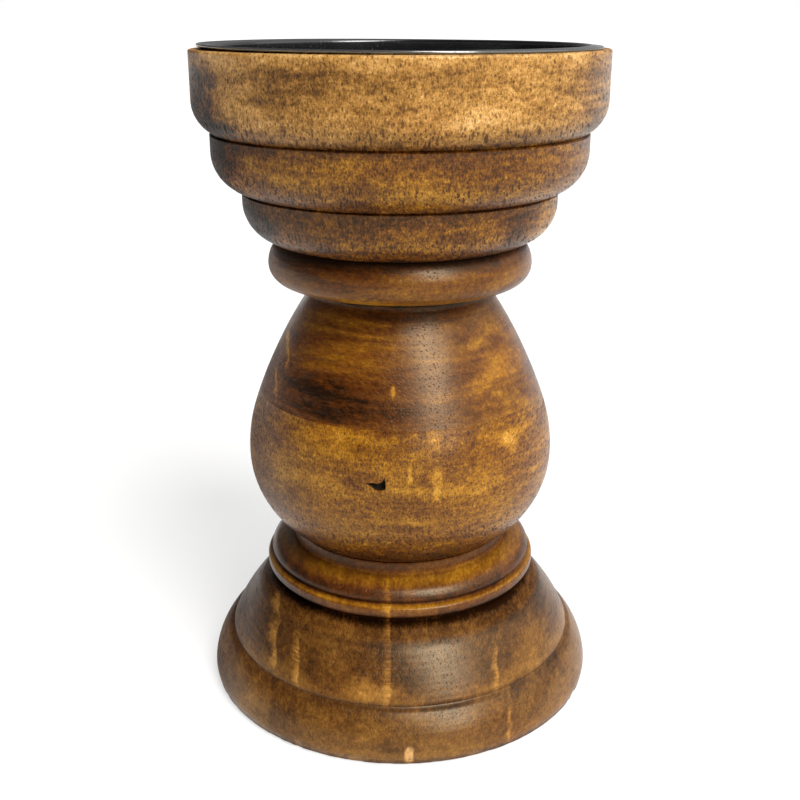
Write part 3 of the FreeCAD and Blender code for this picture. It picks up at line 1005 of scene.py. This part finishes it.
# Paler and darker patches of stain; the darker one at x = -42 is painted shade on the left side.
LOWER_STAIN_AND_PAINTED_SHADE_PATCHES = [((7.9, -35.1, 78.1), (2.2, 4, 2.6), 0.30), ((25.8, -27.0, 74.1), (3.0, 4, 3.0), 0.30),
                 ((8.4, -37.6, 68.5), (1.6, 4, 4.5), 0.22), ((2.3, -38.0, 70.2), (0.8, 4, 2.2), 0.25),
                 ((2.0, -35.0, 80.0), (12, 6, 3.0), -0.22), ((-20, -31, 76), (14, 12, 4), 0.12),
                 ((-42, -22, 62), (12, 14, 18), -0.10)]
paint(lower_bulb, stained_wood("lower_bulb_wood", heading(78), LOWER_STAIN, seed=3.0,
                               patches=LOWER_STAIN_AND_PAINTED_SHADE_PATCHES, worn=[((-46, -8, 65), (18, 40, 40))],
                               rings=(0.03, 0.06, 0.24), speckle=0.8, lines=0.16,
                               pore_wide=0.19, pore_tall=1.5))

# %% [markdown]
# ## The foot's wood
# The foot's bell is smoky brown, with pale streaks where it was rubbed from top to bottom. The
# crevice under the flange is painted near black, dark stain with painted shade over it, and the slope
# just below has lost its wax. The lowest edge is grimy and darkened with painted contact shadow, and
# the bell's right side has a paler patch of painted light. The flange and the cuff keep the golden
# palette. The pores are filled here, and hardly show.

# %% Foot wood
# Stain by height with painted shade in it: the near-black heights from 28.3 to 30.9 mm are the shade in the
# crevice under the flange, those from 0 to 0.9 mm a painted contact shadow along the lowest edge, and the
# dark band from 34 to 36.3 mm is stain and partly the shade under the cuff.
FOOT_STAIN_AND_PAINTED_SHADE = [(0.0, 1.0), (0.9, 0.92), (2.0, 0.72), (6.0, 0.68), (10.5, 0.72), (12.8, 0.84),
              (14.0, 0.68), (18.0, 0.84), (23.8, 0.82), (24.8, 0.88), (25.8, 0.78), (27.4, 0.82),
              (28.3, 1.0), (30.9, 1.0), (31.6, 0.90), (32.2, 0.80), (33.3, 0.72), (33.6, 0.48),
              (34.0, 0.92), (35.4, 0.90), (36.3, 0.88), (37.2, 0.80), (38.0, 0.60), (38.9, 0.52),
              (39.5, 0.64), (40.2, 0.82), (42.4, 0.84)]
FOOT_STREAKS = [(-31.0, 3.2, 15.0, 28.0, 0.34), (-25.0, 2.2, 13.6, 24.0, 0.32),
                (-2.6, 2.2, 13.0, 38.5, 0.28), (23.6, 1.6, 13.0, 22.0, 0.32),
                (26.6, 1.0, 1.0, 12.6, 0.30)]
# Paler patches of stain on the bell's front, and painted light on the bell's right at x = 34.
FOOT_STAIN_AND_PAINTED_LIGHT_PATCHES = [((-8, -44, 16.0), (8, 8, 3.0), 0.24), ((-22, -40, 21), (12, 12, 7), 0.08),
                ((34, -28, 20), (13, 18, 7), 0.14)]
FOOT_WORN = [((-56, -6, 20), (20, 40, 40)), ((0, 0, 27.4), (200, 200, 2.8))]
paint(foot, stained_wood("foot_wood", heading(90), FOOT_STAIN_AND_PAINTED_SHADE, SMOKED, upper=(28.2, GOLDEN), seed=4.0,
                         streaks=FOOT_STREAKS, patches=FOOT_STAIN_AND_PAINTED_LIGHT_PATCHES, worn=FOOT_WORN,
                         rings=(0.01, 0.12, 0.12), blotch=0.10, band=0.30, speckle=0.55,
                         pore_dark=0.2, pore_wide=0.13))

# %% [markdown]
# ## Enamelled pan
# The pan has a coat of glossy black enamel. Such a coat is never mirror flat: it has the faint
# waviness of paint that flowed before it was baked, some dust, and fine scratches where candles were
# pushed in. On the rim of the lip the enamel is worn to bright steel.

# %% Enamel
def black_enamel():
    coat = Finish("pan_enamel")
    flow = coat.cloud(coat.stretch(coat.place, (0.35, 0.35, 0.35)), detail=2)
    dust = coat.fade(coat.cloud(coat.stretch(coat.place, (1.8, 1.8, 1.8)), detail=5, rough=0.75), 0.56, 0.80)
    scratch = coat.cloud(coat.stretch(coat.place, (0.06, 3.2, 1.0), turn=(0, 0, 0.6)), detail=2, rough=0.4)
    scratches = coat.fade(scratch, 0.66, 0.72)
    radius = coat.calc("SQRT", coat.plus(coat.times(coat.x, coat.x), coat.times(coat.y, coat.y)))
    handling = coat.cloud(coat.stretch(coat.place, (0.25, 0.25, 0.25)), detail=4)
    rubbed = coat.times(coat.fade(radius, PAN_EDGE - 0.20, PAN_EDGE - 0.06),
                        coat.fade(handling, 0.20, 0.62, 0.35, 0.9))
    colour = coat.mix(coat.times(dust, 0.08), tint(13, 13, 15), tint(90, 88, 84))
    colour = coat.mix(rubbed, colour, tint(128, 126, 122))
    rough = coat.plus(0.14, coat.times(dust, 0.12), coat.times(scratches, 0.22), coat.times(flow, 0.06))
    height = coat.plus(flow, coat.times(scratches, -0.15))
    return coat.done(Base_Color=colour, Roughness=rough, Metallic=rubbed, Specular_IOR_Level=0.9,
                     Normal=coat.bump(height, 0.00003))


paint(candle_pan, black_enamel())

# %% [markdown]
# ## Felt and dowels
# Felt is a mat of short wool fibres with no direction: two crossed sets of fine, bent threads over a
# soft mottle look like it. The dowels are hidden in the blocks, but they are real pieces, of pale
# beech with its short fine flecks.

# %% Felt and beech
def wool_felt():
    felt = Finish("wool_felt")
    tufts = felt.cloud(felt.stretch(felt.place, (0.5, 0.5, 0.5)), detail=4, rough=0.6, warp=1.2)
    one_way = felt.cloud(felt.stretch(felt.place, (0.9, 7, 3), turn=(0, 0, 0.4)), detail=2, warp=2.5)
    other_way = felt.cloud(felt.stretch(felt.place, (0.9, 7, 3), turn=(0, 0, 2.1)), detail=2, warp=2.5)
    threads = felt.calc("MAXIMUM", one_way, other_way)
    mat = felt.plus(felt.times(tufts, 0.5), felt.times(threads, 0.6))
    colour = felt.ramp(mat, [(0.30, tint(18, 19, 18)), (0.55, tint(38, 39, 37)), (0.80, tint(66, 66, 62))])
    return felt.done(Base_Color=colour, Roughness=0.96, Specular_IOR_Level=0.15, Sheen_Weight=0.35,
                     Sheen_Roughness=0.5, Normal=felt.bump(mat, 0.0005))


def dowel_beech():
    beech = Finish("dowel_beech")
    fleck = beech.cloud(beech.stretch(beech.place, (2.2, 2.2, 0.35)), detail=4, rough=0.6)
    broad = beech.cloud(beech.stretch(beech.place, (0.25, 0.25, 0.03)), detail=3)
    mixed = beech.plus(beech.times(fleck, 0.6), beech.times(broad, 0.4))
    colour = beech.ramp(mixed, [(0.35, tint(176, 134, 92)), (0.5, tint(205, 168, 124)),
                                (0.66, tint(222, 190, 148))])
    return beech.done(Base_Color=colour, Roughness=0.6, Normal=beech.bump(fleck, 0.0001))


paint(felt_disc, wool_felt())
beech = dowel_beech()
for name in ("foot_dowel", "bulb_dowel", "cup_dowel"):
    paint(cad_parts[name], beech)

# %% [markdown]
# ## Light
# Soft daylight. A tall window in front and to the right is made of two soft suns, one above the
# other, and it gives the satin highlights on the bulb, the bead and the foot. A third, very wide sun
# is the light from the right-hand side of the room. The room itself is white low down, where the
# walls meet the floor, which gives the soft sheen along the edges. Above that it is dim, more so on
# the left and in front, so that the left side of the candlestick stays dark.

# %% Lamps and sky
def soft_sun(name, angle, rise, spread, strength, colour=(1, 1, 1)):
    """A soft, far-off light; angle 0 is in front, 90 on the right, and spread is how wide it looks."""
    lamp = bpy.data.objects.new(name, bpy.data.lights.new(name, "SUN"))
    bpy.context.scene.collection.objects.link(lamp)
    lamp.data.angle = math.radians(spread)
    lamp.data.energy = strength
    lamp.data.color = colour
    a, e = math.radians(angle), math.radians(rise)
    away = Vector((math.sin(a) * math.cos(e), -math.cos(a) * math.cos(e), math.sin(e)))
    lamp.rotation_euler = away.to_track_quat("Z", "Y").to_euler()
    return lamp


soft_sun("window_low", angle=32, rise=27, spread=24, strength=1.6, colour=(1.0, 0.985, 0.96))
soft_sun("window_high", angle=33, rise=52, spread=28, strength=2.7, colour=(1.0, 0.985, 0.96))
soft_sun("side_window", angle=75, rise=50, spread=80, strength=1.0)


# %% Room
def pale_room():
    """White low down, where walls meet the floor, and dimmer above, on the left and in front."""
    room = bpy.data.worlds.new("pale_room")
    room.use_nodes = True
    tree = room.node_tree
    air = tree.nodes["Background"]
    where = tree.nodes.new("ShaderNodeTexCoord")
    part = tree.nodes.new("ShaderNodeSeparateXYZ")
    tree.links.new(where.outputs["Generated"], part.inputs[0])

    def across_room(axis, low, high, at_low, at_high):
        made = tree.nodes.new("ShaderNodeMapRange")
        made.interpolation_type = "SMOOTHSTEP"
        tree.links.new(part.outputs[axis], made.inputs["Value"])
        for key, number in (("From Min", low), ("From Max", high), ("To Min", at_low), ("To Max", at_high)):
            made.inputs[key].default_value = number
        return made.outputs["Result"]

    def both(operation, first, second):
        made = tree.nodes.new("ShaderNodeMath")
        made.operation = operation
        tree.links.new(first, made.inputs[0])
        tree.links.new(second, made.inputs[1])
        return made.outputs[0]

    skirting = across_room("Z", 0.02, 0.09, 1.0, 0.0)
    left_to_right = across_room("X", -1.0, 1.0, 0.06, 0.60)
    front_to_back = across_room("Y", -0.8, 0.3, 0.3, 1.0)
    walls = both("MULTIPLY", left_to_right, front_to_back)
    tree.links.new(both("MAXIMUM", skirting, walls), air.inputs["Strength"])
    air.inputs["Color"].default_value = (1.0, 1.0, 1.0, 1.0)
    return room


bpy.context.scene.world = pale_room()
bpy.context.scene.view_settings.view_transform = "Standard"
